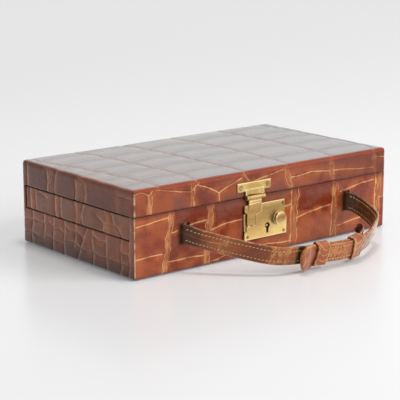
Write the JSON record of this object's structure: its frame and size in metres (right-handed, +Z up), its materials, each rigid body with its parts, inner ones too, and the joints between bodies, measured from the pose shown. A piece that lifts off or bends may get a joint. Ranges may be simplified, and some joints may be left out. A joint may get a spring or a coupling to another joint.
{
  "type": "travel jewellery case",
  "caption": "Leather-covered hard travel case with a lift-up lid, brass hasp lock, stitched strap handle and a lined drawer that slides out of one end.",
  "frame": {"origin": "middle of the case's underside, on the surface it stands on", "axes": "+X along the front from left to right, +Y from front to back, +Z up"},
  "size_m": [0.2804, 0.238, 0.0727],
  "materials": {
    "hide": "glazed reptile grain, red brown with tan grooves",
    "handle_hide": "stitched strap leather, satin",
    "dark_hide": "dull folded leather",
    "case_wood": "thin bare board",
    "pile": "short pile",
    "lid_silk": "padded silk",
    "felt": "felted underside",
    "brass": "polished, lightly worn",
    "dull_brass": "duller fastener brass",
    "steel": "spring steel"
  },
  "bodies": {
    "base": {"base_carcass": "case_wood", "base_covering": "hide", "underside_panel": "felt", "lower_lining": "pile", "lower_partition": "pile", "runner_front": "case_wood", "runner_rear": "case_wood", "lock_plate": "brass", "plate_pin_lower_left": "dull_brass", "plate_pin_lower_right": "dull_brass", "plate_pin_upper_right": "dull_brass", "lock_case": "dull_brass", "key_post": "brass", "bolt_spring": "steel", "slot_binding_left": "dark_hide", "slot_binding_right": "dark_hide", "strap_root_left": "dark_hide", "strap_root_right": "dark_hide", "strap_stop_left": "dull_brass", "strap_stop_right": "dull_brass", "hinge_base_leaf_left": "dull_brass", "hinge_base_leaf_right": "dull_brass", "hinge_pin_left": "dull_brass", "hinge_pin_right": "dull_brass"},
    "lid": {"lid_carcass": "case_wood", "lid_covering": "hide", "lid_pad": "lid_silk", "hasp_plate": "brass", "hasp_screw_left": "dull_brass", "hasp_screw_right": "dull_brass", "hasp_pin": "dull_brass", "hinge_lid_leaf_left": "dull_brass", "hinge_lid_leaf_right": "dull_brass"},
    "hasp": {"hasp_leaf": "brass"},
    "latch": {"latch_knob": "brass"},
    "drawer": {"drawer_body": "case_wood", "drawer_front_covering": "hide", "drawer_lining": "pile", "drawer_partition_left": "pile", "drawer_partition_right": "pile", "drawer_partition_cross": "pile", "drawer_stop": "case_wood", "ring_roll_1": "pile", "ring_roll_2": "pile", "ring_roll_3": "pile", "ring_roll_4": "pile", "ring_roll_5": "pile", "ring_roll_6": "pile", "ring_roll_7": "pile"},
    "handle": {"strap_left": "handle_hide", "strap_right": "handle_hide", "keeper_1": "handle_hide", "keeper_2": "handle_hide"}
  },
  "joints": [
    {"name": "lid_hinge", "type": "hinge", "parent": "base", "child": "lid", "pos_m": [0, 0.0818, 0.0513], "axis": [-1, 0, 0], "range_deg": [0, 100]},
    {"name": "hasp_hinge", "type": "hinge", "parent": "lid", "child": "hasp", "pos_m": [-0.017, -0.0827, 0.051], "axis": [-1, 0, 0], "range_deg": [0, 150]},
    {"name": "latch_slide", "type": "slide", "parent": "base", "child": "latch", "axis": [1, 0, 0], "range_m": [0, 0.003], "stiffness_N_per_m": 300, "springref_m": -0.003},
    {"name": "drawer_slide", "type": "slide", "parent": "base", "child": "drawer", "axis": [-1, 0, 0], "range_m": [0, 0.2]},
    {"name": "handle_swing", "type": "hinge", "parent": "base", "child": "handle", "pos_m": [-0.002, -0.084, 0.0315], "axis": [-1, 0, 0], "range_deg": [0, 40]}
  ]
}
